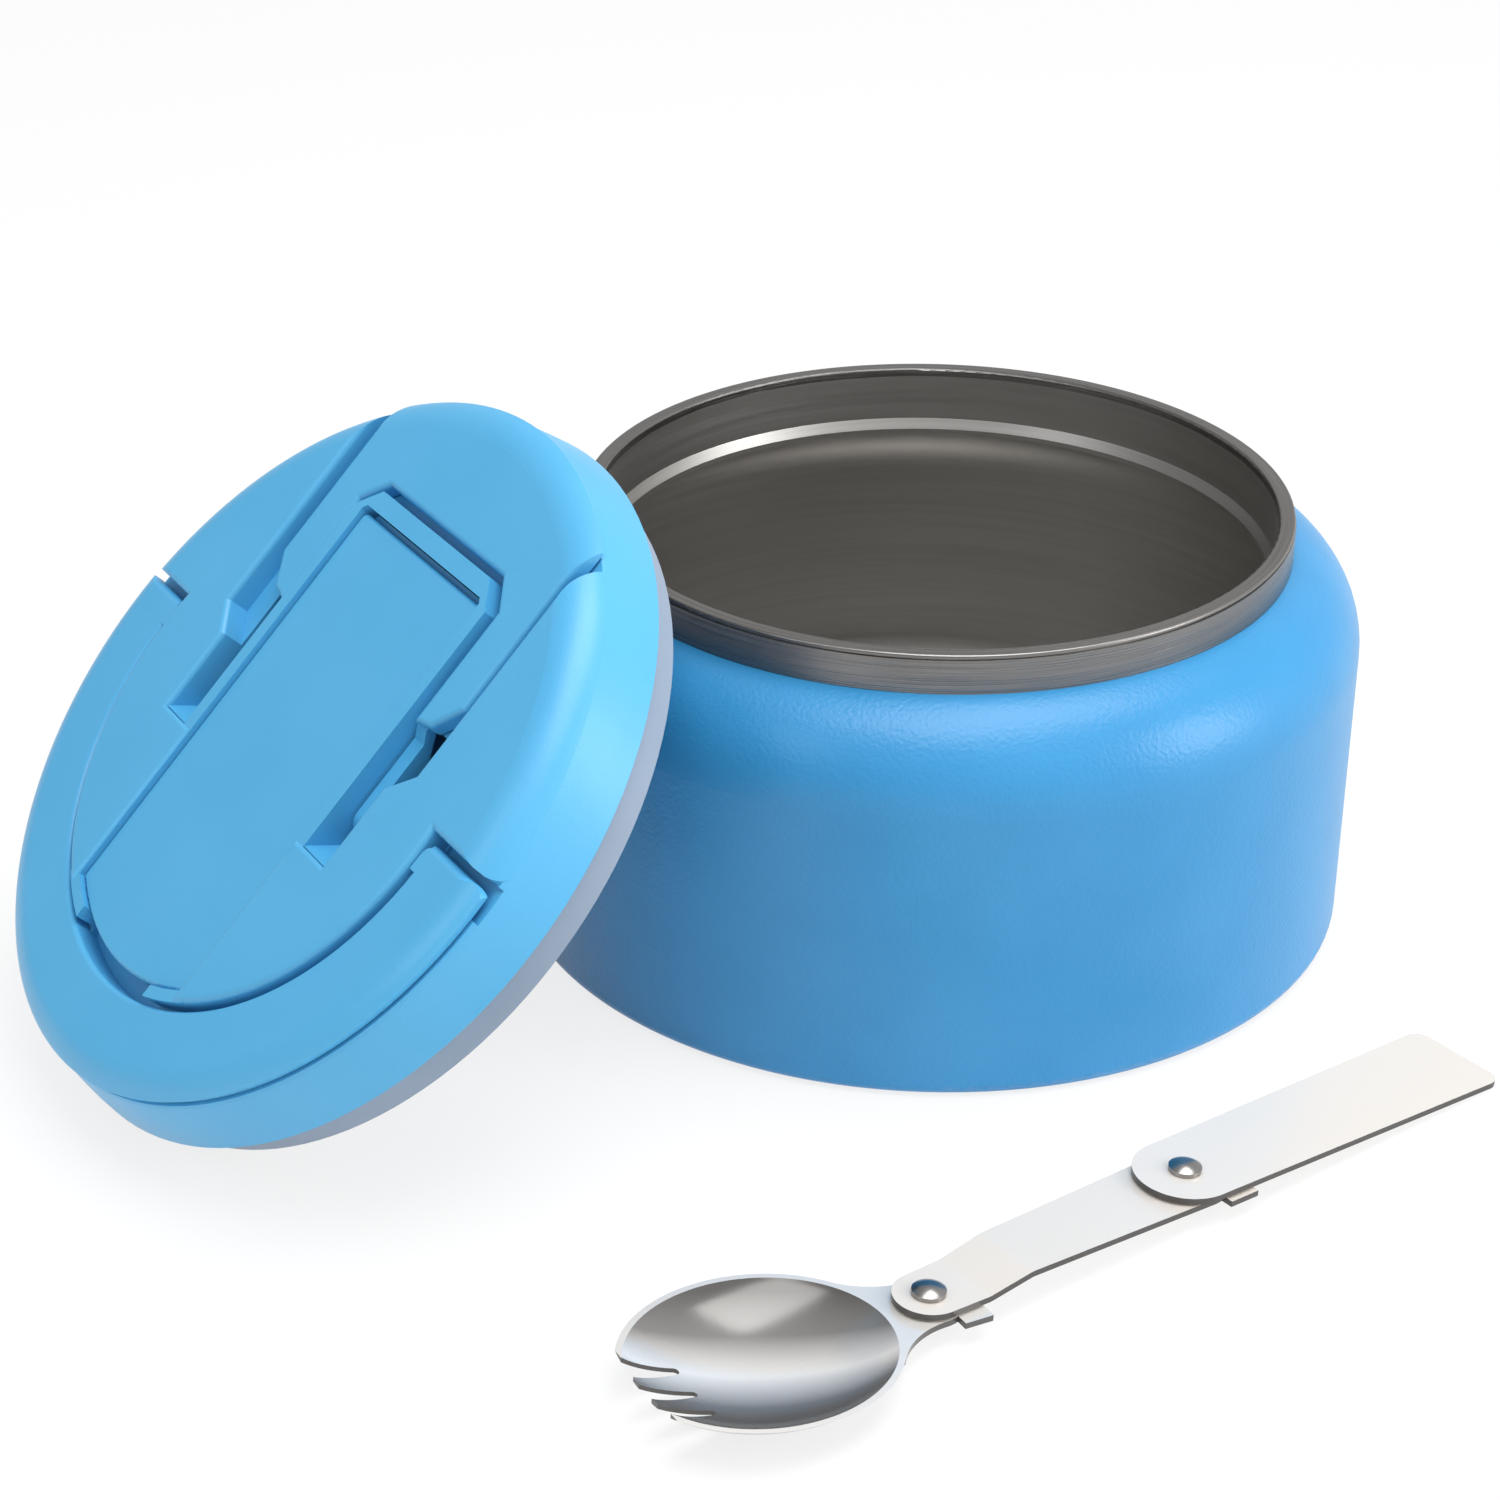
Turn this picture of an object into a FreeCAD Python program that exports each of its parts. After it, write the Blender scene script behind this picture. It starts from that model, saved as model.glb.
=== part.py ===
import FreeCAD, Part
import math
import os
import Sketcher

# Insulated food jar, standing open: double-walled steel jar, plastic lid leaning at 45 degrees on the
# floor, and a folding steel spork lying unfolded in front. Millimetres, +Z up, the origin is the centre
# of the jar's base on the floor. Each piece of the lid is drawn in the lid's own frame, where +Z is the
# lid's outward normal and zero is the lower edge of its skirt; the spork's pieces are drawn in the
# frame of its first rivet. One placement per group then puts them where they lie.

doc = FreeCAD.newDocument("food_jar")

# Driving dimensions
DIMENSIONS = {
    # jar
    "jar_height": 72.7, "rim_radius": 60.0, "body_radius": 72.3, "shoulder_radius": 16.4,
    "band_height": 6.6, "shell_wall": 0.6, "base_round": 2.0, "base_disc_radius": 66.2,
    "lip_height": 1.5, "lip_round": 0.4, "groove_depth": 0.3, "groove_top": 0.45, "groove_bottom": 0.85,
    "groove_slope": 0.1, "neck_radius": 57.2,
    "ledge_drop": 9.7, "ledge_width": 0.9, "vessel_radius": 67.3, "vessel_round": 12.0,
    "vessel_floor": 4.5, "base_thickness": 1.2, "flange_width": 1.4,
    "getter_radius": 9.0, "getter_offset": 30.0, "seal_hole": 1.5, "seal_head": 4.0,
    "seal_thickness": 0.8,
    # lid shell
    "skirt_radius": 63.6, "skirt_inner": 61.7, "ledge_radius": 61.0, "deck_top": 10.4, "deck_under": 8.6,
    "skirt_seat": 3.0, "skirt_edge": 0.4, "skirt_bow": 60.0, "seat_radius": 59.5, "platform_top": 14.85,
    "rib_top": 14.5, "platform_foot": 9.4, "platform_rim": 61.3, "crown_radius": 55.0, "crown_arc": 7.5,
    "crown_foot": 0.4, "recess_radius": 45.9,
    "well_radius": 43.9, "platform_half_gap": 34.6, "slot_outer": 29.9, "rib_outer": 22.9,
    "rib_inner": 20.4, "rib_end": 39.2, "well_end": 35.9, "rib_chamfer": 4.5, "well_chamfer": 0.8,
    "tongue_end": 13.6, "slot_end": 9.8, "slot_far": 16.3, "step_near": 5.0, "step_far": 9.7,
    "handle_stop": 5.5, "stop_corner": 1.8, "soft_edge": 1.0, "soft_panel": 0.5, "finger_depth": 1.3,
    "lug_width": 2.3, "lug_half": 4.0, "lug_foot": 4.2, "slot_ramp": 3.4, "slot_ramp_top": 14.55,
    # plug under the lid
    "plug_radius": 54.4, "plug_wall": 1.4, "plug_depth": 13.0, "plug_round": 3.0, "ring_outer": 61.2,
    "ring_inner": 60.3, "ring_drop": 6.16, "flange_bottom": 1.6, "seal_lower": 0.05, "foam_top": -3.0,
    "cover_plate_top": -1.8,
    # spork compartment
    "tray_half": 20.2, "tray_end": 35.6, "tray_radius": 43.6, "tray_wall": 1.2, "tray_top": 11.6,
    "panel_half": 20.1, "panel_radius": 43.7, "panel_top": 13.75, "panel_thickness": 2.0,
    "panel_hinge": 33.8, "cover_pin_radius": 0.6,
    # flap over the vent
    "flap_top": 13.75, "flap_under": 10.85, "flap_half": 32.6, "flap_rim": 61.8, "flap_crown": 55.4,
    "flap_crown_arc": 8.5, "flap_crown_foot": 0.3, "flap_gap_half": 24.2,
    "flap_gap_end": 40.5, "flap_gap_chamfer": 4.7, "leg_end": 21.4, "leg_foot": 16.1, "leg_tip": 15.2,
    "leg_step": 28.2, "arm_inner": 23.4, "arm_outer": 26.4, "flap_hinge_y": -1.0, "flap_hinge_z": 7.8,
    "arm_round": 3.0, "arm_web": 1.2, "arm_knee_y": 8.0, "arm_knee_z": 6.2, "flap_pin_radius": 1.2,
    "valve_y": 48.0, "valve_stem": 2.9, "valve_head": 4.2,
    # carry handle
    "handle_inner": 46.95, "handle_outer": 61.05, "handle_top": 14.0, "handle_under": 10.6,
    "handle_flat": 56.0, "handle_end": 3.9, "handle_hinge_y": 1.5, "handle_hinge_z": 12.3,
    "handle_end_round": 2.5, "handle_corner": 2.0, "handle_boss": 46.15, "boss_foot": -1.0,
    "boss_round": 2.5, "end_round": 1.3, "handle_pin_radius": 1.3, "handle_pin_inner": 40.0,
    "handle_pin_outer": 53.0, "handle_pocket": 9.6,
    # spork
    "sheet": 1.0, "washer_height": 0.4, "washer_radius": 3.6, "bend_rise": 1.5, "bowl_centre": 28.0,
    "bowl_half_length": 21.3, "bowl_half_width": 18.4, "bowl_depth": 4.9, "bowl_curve": 11.0,
    "bowl_sheet": 0.7, "tine_slot": 1.3, "tine_gap": 3.9, "tine_pitch": 5.3, "tine_root": 38.8,
    "tine_tip": 46.6, "neck_half": 5.4, "neck_flare_x": 10.5, "neck_flare_y": 10.5, "neck_flare": 13.7,
    "rivet_spacing": 51.6, "link_near": 5.4, "link_far": 7.0, "bend_start": 7.0, "bend_end": 15.0,
    "bend_lag": 0.2, "bend_round": 4.0, "grip_near": 8.1, "grip_far": 9.0, "grip_length": 63.0,
    "grip_corner": 2.5, "rivet_head": 2.6, "rivet_shank": 1.5, "rivet_edge": 0.7, "rivet_dome": 0.8,
    "rivet_foot": 2.4, "rivet_foot_height": 0.7,
    # stop tabs at the rivets: where they start and end past the rivet, and how far they stick out
    "bowl_tab_start": 2.0, "bowl_tab_end": 6.8, "bowl_tab_out": 1.6, "link_tab_start": 1.5,
    "link_tab_end": 7.2, "link_tab_out": 1.9,
    # play and fits
    "running_fit": 0.05, "face_play": 0.05,
}

# Where the leaning lid and the spork lie
LID_CENTRE = (-95.26, -53.91, 47.63)
LID_TURN = 301.15
LID_TILT = 45.0
SPORK_RIVET = (-4.63, -131.35)
SPORK_TURN = 38.6
BOWL_TURN = -8.0

sheet = doc.addObject("Spreadsheet::Sheet", "sizes")
for row, (name, value) in enumerate(DIMENSIONS.items(), 1):
    sheet.set("A%d" % row, name)
    sheet.set("B%d" % row, str(value))
    sheet.setAlias("B%d" % row, name)
doc.recompute()


class Size:
    """A length that knows its value and the sheet expression that gives it."""

    def __init__(self, value, text):
        self.value = float(value)
        self.text = text

    def __add__(self, other):
        other = size(other)
        return Size(self.value + other.value, "(%s + %s)" % (self.text, other.text))

    def __radd__(self, other):
        return size(other) + self

    def __sub__(self, other):
        other = size(other)
        return Size(self.value - other.value, "(%s - %s)" % (self.text, other.text))

    def __rsub__(self, other):
        return size(other) - self

    def __mul__(self, factor):
        return Size(self.value * factor, "%s * %s" % (self.text, factor))

    def __neg__(self):
        return Size(-self.value, "(-1 * %s)" % self.text)


def size(value):
    return value if isinstance(value, Size) else Size(value, repr(float(value)))


def dim(name):
    return Size(DIMENSIONS[name], "sizes.%s" % name)


def leg(radius, side):
    """The other leg of a right triangle: where a circle of this radius crosses the line at side."""
    radius, side = size(radius), size(side)
    value = math.sqrt(radius.value ** 2 - side.value ** 2)
    return Size(value, "sqrt((%s)^2 - (%s)^2)" % (radius.text, side.text))


def cap_radius(half_width, rise):
    """Radius of the sphere whose cap has this half width and height."""
    value = (half_width.value ** 2 + rise.value ** 2) / (2 * rise.value)
    return Size(value, "((%s)^2 + (%s)^2) / (2 * %s)" % (half_width.text, rise.text, rise.text))


def mirrored(outline):
    """The outline on the other side of the Y axis, still counter-clockwise."""
    flipped = []
    for i in reversed(range(len(outline))):
        x, y = outline[i][:2]
        flipped.append((-size(x), y) + tuple(outline[i - 1][2:]))
    return flipped


def rectangle(x0, x1, y0, y1):
    return [(x0, y0), (x1, y0), (x1, y1), (x0, y1)]


PIECES = []


def new_body(name):
    body = doc.addObject("PartDesign::Body", name)
    body.Label = name
    PIECES.append(body)
    return body


def bind(owner, constraint, value):
    if "sizes" in value.text:
        owner.setExpression("Constraints[%d]" % constraint, value.text)


def add_circle(sk, x, y, radius):
    x, y, radius = size(x), size(y), size(radius)
    centre = FreeCAD.Vector(x.value, y.value, 0)
    g = sk.addGeometry(Part.Circle(centre, FreeCAD.Vector(0, 0, 1), radius.value), False)
    bind(sk, sk.addConstraint(Sketcher.Constraint("Radius", g, radius.value)), radius)
    bind(sk, sk.addConstraint(Sketcher.Constraint("DistanceX", g, 3, x.value)), x)
    bind(sk, sk.addConstraint(Sketcher.Constraint("DistanceY", g, 3, y.value)), y)


def add_outline(sk, outline):
    """A closed outline of (x, y) points. A point with (radius, side) starts an arc; side is +1 where
    the arc's centre lies to the left of the way along it, and -1 where it lies to the right."""
    first = len(sk.Geometry)
    points = [(size(p[0]), size(p[1])) for p in outline]
    ends = [FreeCAD.Vector(x.value, y.value, 0) for x, y in points]
    count = len(outline)
    for i, point in enumerate(outline):
        a, b = ends[i], ends[(i + 1) % count]
        if len(point) > 2:
            radius, side = size(point[2]).value, point[3]
            chord = b - a
            across = FreeCAD.Vector(-chord.y, chord.x, 0).normalize()
            to_centre = math.sqrt(max(radius ** 2 - (chord.Length / 2) ** 2, 0))
            centre = (a + b) * 0.5 + across * (to_centre * side)
            circle = Part.Circle(centre, FreeCAD.Vector(0, 0, 1), radius)
            start, end = (a, b) if side > 0 else (b, a)
            angles = [math.atan2(p.y - centre.y, p.x - centre.x) for p in (start, end)]
            sk.addGeometry(Part.ArcOfCircle(circle, *angles), False)
        else:
            sk.addGeometry(Part.LineSegment(a, b), False)
    starts = []
    for i in range(count):
        swapped = (sk.Geometry[first + i].StartPoint - ends[i]).Length > 1e-6
        starts.append((2, 1) if swapped else (1, 2))
    for i in range(count):
        j = (i + 1) % count
        meeting = (first + i, starts[i][1], first + j, starts[j][0])
        sk.addConstraint(Sketcher.Constraint("Coincident", *meeting))
    for i, point in enumerate(outline):
        x, y = points[i]
        bind(sk, sk.addConstraint(Sketcher.Constraint("DistanceX", first + i, starts[i][0], x.value)), x)
        bind(sk, sk.addConstraint(Sketcher.Constraint("DistanceY", first + i, starts[i][0], y.value)), y)
        if len(point) > 2:
            radius = size(point[2])
            bind(sk, sk.addConstraint(Sketcher.Constraint("Radius", first + i, radius.value)), radius)


def sketch(body, role, loops, offset=0.0):
    """A sketch on one of the body's own planes, moved along the plane's normal by offset. A loop is
    an outline or a circle given as ("circle", x, y, radius)."""
    sk = body.newObject("Sketcher::SketchObject", body.Name + "_sketch")
    origin_plane = [f for f in body.Origin.OriginFeatures if f.Role == role][0]
    sk.AttachmentSupport = (origin_plane, "")
    sk.MapMode = "FlatFace"
    sk.setExpression("AttachmentOffset.Base.z", size(offset).text)
    for loop in loops:
        if loop[0] == "circle":
            add_circle(sk, *loop[1:])
        else:
            add_outline(sk, loop)
    return sk


def turn(body, outline, cut=False):
    """Turn a profile, drawn as (radius, height), about the body's Z axis."""
    sk = sketch(body, "XZ_Plane", [outline])
    kind = "PartDesign::Groove" if cut else "PartDesign::Revolution"
    feature = body.newObject(kind, body.Name + "_turn")
    feature.Profile = sk
    feature.ReferenceAxis = (sk, ["V_Axis"])
    feature.Angle = 360
    return feature


def extrude(body, role, loops, start, end):
    """Add material between start and end along the plane's normal."""
    start, end = size(start), size(end)
    feature = body.newObject("PartDesign::Pad", body.Name + "_pad")
    feature.Profile = sketch(body, role, loops, start)
    feature.setExpression("Length", (end - start).text)
    return feature


def remove(body, role, loops, start, end):
    """Cut material away between start and end along the plane's normal."""
    start, end = size(start), size(end)
    feature = body.newObject("PartDesign::Pocket", body.Name + "_pocket")
    feature.Profile = sketch(body, role, loops, start)
    feature.setExpression("Length", (end - start).text)
    feature.Reversed = True
    doc.recompute()
    base = feature.BaseFeature.Shape.Volume
    if base - feature.Shape.Volume < 1e-3:
        raise RuntimeError("a pocket in %s cut nothing" % body.Label)
    return feature


def both_sides(start, end):
    """The span from start to end, and its mirror image."""
    return [(size(start), size(end)), (-size(end), -size(start))]


def soften(body, radius, wanted):
    """Round the edges of the body's last feature that the test picks."""
    doc.recompute()
    base = body.Tip
    edges = [i for i, edge in enumerate(base.Shape.Edges, 1) if wanted(edge)]
    feature = body.newObject("PartDesign::Fillet", body.Name + "_soft")
    feature.Base = (base, ["Edge%d" % i for i in edges])
    feature.setExpression("Radius", size(radius).text)
    doc.recompute()
    return feature


def level(height):
    """Picks the edges that lie whole at one height."""
    value = size(height).value
    return lambda edge: abs(edge.BoundBox.ZMin - value) < 1e-3 and abs(edge.BoundBox.ZMax - value) < 1e-3


def inside(radius):
    """Picks the edges that aren't arcs of this radius or more about the lid's middle."""
    value = size(radius).value
    return lambda edge: not (hasattr(edge.Curve, "Radius") and edge.Curve.Radius > value)


def all_of(*tests):
    return lambda edge: all(test(edge) for test in tests)


# Heights and radii of the jar that follow from the driving dimensions
wall = dim("shell_wall")
shoulder = dim("shoulder_radius")
shoulder_x = dim("body_radius") - shoulder
shoulder_z = dim("jar_height") - dim("band_height") - leg(shoulder, dim("rim_radius") - shoulder_x)
vessel_neck = dim("neck_radius") + wall
band_bottom = dim("jar_height") - dim("band_height")
lip_bottom = dim("jar_height") - dim("lip_height")


def outer_shell():
    """Steel outer wall: turned-in foot, straight side, round shoulder up to the neck."""
    body = new_body("outer_shell")
    radius, foot = dim("body_radius"), dim("base_round")
    neck_top = shoulder_z + leg(shoulder, vessel_neck - shoulder_x)
    neck_under = shoulder_z + leg(shoulder - wall, vessel_neck - shoulder_x)
    turn(body, [
        (dim("base_disc_radius"), 0), (radius - foot, 0, foot, 1), (radius, foot),
        (radius, shoulder_z, shoulder, 1), (vessel_neck, neck_top),
        (vessel_neck, neck_under, shoulder - wall, -1), (radius - wall, shoulder_z),
        (radius - wall, foot, foot - wall, -1), (radius - foot, wall), (dim("base_disc_radius"), wall)])


def neck_band():
    """Bare band with a thin groove under the rolled lip; it sits on the shoulder."""
    body = new_body("neck_band")
    rim, neck, top, roll = dim("rim_radius"), dim("neck_radius"), dim("jar_height"), dim("lip_round")
    groove, slope = dim("groove_depth"), dim("groove_slope")
    high, low = top - dim("groove_top"), top - dim("groove_bottom")
    neck_top = shoulder_z + leg(shoulder, vessel_neck - shoulder_x)
    turn(body, [
        (vessel_neck, neck_top, shoulder, -1), (rim, band_bottom), (rim, low),
        (rim - groove, low + slope), (rim - groove, high - slope), (rim - slope, high),
        (rim - slope, top - roll, roll, 1), (rim - slope - roll, top), (neck + roll, top, roll, 1),
        (neck, top - roll), (neck, lip_bottom), (vessel_neck, lip_bottom)])


def inner_vessel():
    """Steel liner: neck, a soft ledge that narrows it, wide belly, rounded floor."""
    body = new_body("inner_vessel")
    neck, belly, bend = dim("neck_radius"), dim("vessel_radius"), dim("vessel_round")
    step = dim("ledge_width")
    ledge = dim("jar_height") - dim("ledge_drop")
    throat = neck - step
    hip = belly - throat
    hip_z = ledge - step * 3.0 - hip
    floor = dim("vessel_floor")
    turn(body, [
        (0, floor - wall), (belly - bend, floor - wall, bend + wall, 1), (belly + wall, floor + bend),
        (belly + wall, hip_z, hip + wall, 1), (throat + wall, hip_z + leg(hip + wall, wall)),
        (vessel_neck, ledge), (vessel_neck, lip_bottom), (neck, lip_bottom), (neck, ledge),
        (throat, ledge - step * 2.0), (throat, hip_z + hip, hip, -1), (belly, hip_z),
        (belly, floor + bend, bend, -1), (belly - bend, floor), (0, floor)])


def base_plate():
    """Disc that closes the bottom, with a flange on the inside of the shell's foot."""
    body = new_body("base_plate")
    disc, flange = dim("base_disc_radius"), dim("flange_width")
    turn(body, [
        (0, 0), (disc, 0), (disc, wall), (disc + flange, wall), (disc + flange, dim("base_thickness")),
        (0, dim("base_thickness"))])
    remove(body, "XY_Plane", [("circle", dim("getter_offset"), 0, dim("seal_hole"))], 0,
           dim("base_thickness"))


def getter():
    """Disc on the inside of the base that keeps the vacuum."""
    body = new_body("getter")
    extrude(body, "XY_Plane", [("circle", -dim("getter_offset"), 0, dim("getter_radius"))],
            dim("base_thickness"), dim("base_thickness") + dim("seal_thickness"))


def vacuum_seal():
    """Glass seal of the evacuation hole, with its bead on the inside of the base."""
    body = new_body("vacuum_seal")
    top = dim("base_thickness")
    extrude(body, "XY_Plane", [("circle", dim("getter_offset"), 0, dim("seal_hole"))], wall * 0.5, top)
    extrude(body, "XY_Plane", [("circle", dim("getter_offset"), 0, dim("seal_head"))], top,
            top + dim("seal_thickness"))


# Outlines of the lid, seen along its normal with the flap's side up
def well_outline(half, far, radius, chamfer):
    """The long opening in the middle: straight sides, square far end, round near end."""
    return [
        (-half, -leg(radius, half), radius, 1), (half, -leg(radius, half)), (half, far - chamfer),
        (half - chamfer, far), (-(half - chamfer), far), (-half, far - chamfer)]


def platform_outline():
    """The raised right-hand part of the lid's top."""
    recess, rim, gap = dim("recess_radius"), dim("platform_rim"), dim("platform_half_gap")
    rib, stop, slot = dim("rib_outer"), dim("handle_stop"), dim("slot_outer")
    inner, corner = dim("rib_inner"), dim("stop_corner")
    return [
        (rib, -dim("slot_end")), (inner, -dim("slot_end")), (inner, -leg(recess, inner), recess, 1),
        (leg(recess, stop), stop), (leg(rim, stop) - corner, stop, corner, 1),
        (leg(rim, stop + corner), stop + corner, rim, 1), (gap, leg(rim, gap)), (gap, dim("step_far")),
        (slot, dim("step_near")), (slot, -dim("slot_end"))]


def rib_outline():
    """The frame around the compartment, open at the near end between its two tongues."""
    outer, inner, tongue = dim("rib_outer"), dim("rib_inner"), dim("tongue_end")
    recess, well, corner = dim("recess_radius"), dim("well_radius"), dim("well_chamfer")
    far, far_in, chamfer = dim("rib_end"), dim("well_end"), dim("rib_chamfer")
    return [
        (tongue, -leg(recess, tongue), recess, 1), (outer, -leg(recess, outer)), (outer, far - chamfer),
        (outer - chamfer, far), (-(outer - chamfer), far), (-outer, far - chamfer),
        (-outer, -leg(recess, outer), recess, 1), (-tongue, -leg(recess, tongue)),
        (-tongue, -leg(well, tongue), well, -1), (-inner, -leg(well, inner)), (-inner, far_in - corner),
        (-(inner - corner), far_in), (inner - corner, far_in), (inner, far_in - corner),
        (inner, -leg(well, inner), well, -1), (tongue, -leg(well, tongue))]


def lid_shell():
    """Blue top of the lid: skirt, deck, two raised platforms, the frame of the compartment, slots for
    the flap's arms with hinge lugs under them, and the pockets of the carry handle's ends."""
    body = new_body("lid_shell")
    deck, under, seat = dim("deck_top"), dim("deck_under"), dim("skirt_seat")
    edge, skirt, ledge = dim("skirt_edge"), dim("skirt_radius"), dim("ledge_radius")
    turn(body, [
        (0, under), (dim("seat_radius"), under), (dim("seat_radius"), seat), (dim("skirt_inner"), seat),
        (dim("skirt_inner"), 0), (skirt - edge, 0), (skirt, edge, dim("skirt_bow"), 1),
        (ledge + 0.3, deck - 0.5), (ledge, deck), (0, deck)])
    right = platform_outline()
    extrude(body, "XY_Plane", [right], dim("platform_foot"), dim("platform_top"))
    extrude(body, "XY_Plane", [mirrored(right)], dim("platform_foot"), dim("platform_top"))
    soften(body, dim("soft_edge"), all_of(level(dim("platform_top")), inside(dim("crown_radius"))))
    crown, rim, top = dim("crown_radius"), dim("platform_rim"), dim("platform_top")
    foot = deck - dim("crown_foot")
    turn(body, [
        (crown, top, dim("crown_arc"), -1), (rim, foot), (rim + 4.0, foot), (rim + 4.0, top + 1.0),
        (crown, top + 1.0)], cut=True)
    extrude(body, "XY_Plane", [rib_outline()], under + 0.2, dim("rib_top"))
    well = well_outline(dim("rib_inner"), dim("well_end"), dim("well_radius"), dim("well_chamfer"))
    remove(body, "XY_Plane", [well], under - 1.0, deck + 0.5)
    slot = rectangle(dim("rib_outer"), dim("slot_outer"), -dim("slot_end"), dim("slot_far"))
    remove(body, "XY_Plane", [slot, mirrored(slot)], under - 1.0, deck + 0.5)
    ramp = [(-dim("slot_end"), under), (dim("slot_ramp") - dim("slot_end"), under),
            (-dim("slot_end"), dim("slot_ramp_top"))]
    for start, end in both_sides(dim("rib_outer"), dim("slot_outer")):
        extrude(body, "YZ_Plane", [ramp], start, end)
    tongue, outer, inner = dim("tongue_end"), dim("handle_inner"), dim("well_radius") - 0.5
    finger = [
        (-tongue, -leg(outer, tongue), outer, 1), (tongue, -leg(outer, tongue)),
        (tongue, -leg(inner, tongue), inner, -1), (-tongue, -leg(inner, tongue))]
    remove(body, "XY_Plane", [finger], deck - dim("finger_depth"), deck + 1.0)
    remove(body, "XY_Plane", [("circle", 0, dim("valve_y"), dim("valve_stem"))], under - 1.0, deck + 1.0)
    for start, end in both_sides(dim("recess_radius"), dim("platform_rim") + 1.0):
        pocket = rectangle(start, end, dim("handle_hinge_y") - 2.2, dim("handle_stop"))
        remove(body, "XY_Plane", [pocket], dim("handle_pocket"), deck + 0.6)
    hinge_y, hinge_z, pin = dim("flap_hinge_y"), dim("flap_hinge_z"), dim("flap_pin_radius")
    half = dim("lug_half")
    lug = rectangle(hinge_y - half, hinge_y + half, dim("lug_foot"), under + 0.2)
    spans = both_sides(dim("slot_outer"), dim("slot_outer") + dim("lug_width"))
    spans += both_sides(dim("rib_outer") - dim("lug_width"), dim("rib_outer"))
    for start, end in spans:
        extrude(body, "YZ_Plane", [lug], start, end)
        remove(body, "YZ_Plane", [("circle", hinge_y, hinge_z, pin)], start, end)
    grip = ("circle", dim("handle_hinge_y"), dim("handle_hinge_z"), dim("handle_pin_radius"))
    for start, end in both_sides(dim("handle_pin_inner"), dim("recess_radius") + 1.0):
        remove(body, "YZ_Plane", [grip], start, end)
    cover = ("circle", dim("panel_hinge"), dim("panel_top") - dim("panel_thickness") * 0.5,
             dim("cover_pin_radius"))
    for start, end in both_sides(dim("rib_inner") - 0.5, dim("rib_outer") - 0.8):
        remove(body, "YZ_Plane", [cover], start, end)


def inner_plug():
    """Pale moulded cup under the lid: wall, floor, flange, and the grey ring below the skirt."""
    body = new_body("inner_plug")
    outer, thick, depth = dim("plug_radius"), dim("plug_wall"), dim("plug_depth")
    under, seat, corner = dim("flange_bottom"), dim("skirt_seat"), dim("plug_round")
    ring, ring_in, drop = dim("ring_outer"), dim("ring_inner"), dim("ring_drop")
    turn(body, [
        (0, -depth), (outer - corner, -depth, corner, 1), (outer, -depth + corner), (outer, under),
        (ring_in, under), (ring_in, -drop), (ring, -drop), (ring, under), (ring + 0.4, under),
        (ring + 0.4, seat), (outer - thick, seat), (outer - thick, thick + corner - depth, corner, -1),
        (outer - thick - corner, thick - depth), (0, thick - depth)])


def lid_seal():
    """Silicone ring under the flange; closed, it presses on the jar's lip."""
    body = new_body("lid_seal")
    inner, outer = dim("plug_radius"), dim("ring_inner") - 0.1
    low, high = dim("seal_lower"), dim("flange_bottom")
    turn(body, [
        (inner, low + 0.4), (inner + 0.6, low), (outer - 0.6, low), (outer, low + 0.4), (outer, high),
        (inner, high)])


def plug_foam():
    """Insulating disc that fills the lower part of the plug."""
    body = new_body("plug_foam")
    radius = dim("plug_radius") - dim("plug_wall")
    low, corner = dim("plug_wall") - dim("plug_depth"), dim("plug_round")
    turn(body, [
        (0, low), (radius - corner, low), (radius, low + corner), (radius, dim("foam_top")),
        (0, dim("foam_top"))])


def plug_cover():
    """Pale plate on the foam, seen at the bottom of the lid's slots."""
    body = new_body("plug_cover")
    radius = dim("plug_radius") - dim("plug_wall")
    turn(body, [(0, dim("foam_top")), (radius, dim("foam_top")), (radius, dim("cover_plate_top")),
                (0, dim("cover_plate_top"))])


def spork_tray():
    """Tub under the compartment cover that holds the folded spork."""
    body = new_body("spork_tray")
    thick, low = dim("tray_wall"), dim("cover_plate_top")
    half, far, radius = dim("tray_half"), dim("tray_end"), dim("tray_radius")
    outline = well_outline(half, far, radius, dim("well_chamfer"))
    hollow = well_outline(half - thick, far - thick, radius - thick, dim("well_chamfer"))
    extrude(body, "XY_Plane", [outline], low, dim("tray_top"))
    remove(body, "XY_Plane", [hollow], low + thick, dim("tray_top"))


def compartment_cover():
    """Long panel over the tray; its far end is rounded about its hinge."""
    body = new_body("compartment_cover")
    half, top, thick = dim("panel_half"), dim("panel_top"), dim("panel_thickness")
    hinge, radius = dim("panel_hinge"), dim("panel_radius")
    bend = thick * 0.5
    middle = top - bend
    side = [
        (-radius - 1.0, top - thick), (hinge, top - thick, bend, 1), (hinge + bend, middle, bend, 1),
        (hinge, top), (-radius - 1.0, top)]
    extrude(body, "YZ_Plane", [side], -half, half)
    reach = half + 1.0
    outside = [
        (-reach, -radius - 2.0), (reach, -radius - 2.0), (reach, -leg(radius, reach), radius, -1),
        (-reach, -leg(radius, reach))]
    remove(body, "XY_Plane", [outside], top - thick - 1.0, top + 1.0)
    hinge_start = (hinge - bend).value
    soften(body, dim("soft_panel"), all_of(level(top), lambda edge: edge.BoundBox.YMin < hinge_start))
    hole = ("circle", hinge, middle, dim("cover_pin_radius") + dim("running_fit"))
    for start, end in both_sides(half - 2.5, half + 0.5):
        remove(body, "YZ_Plane", [hole], start, end)


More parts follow.
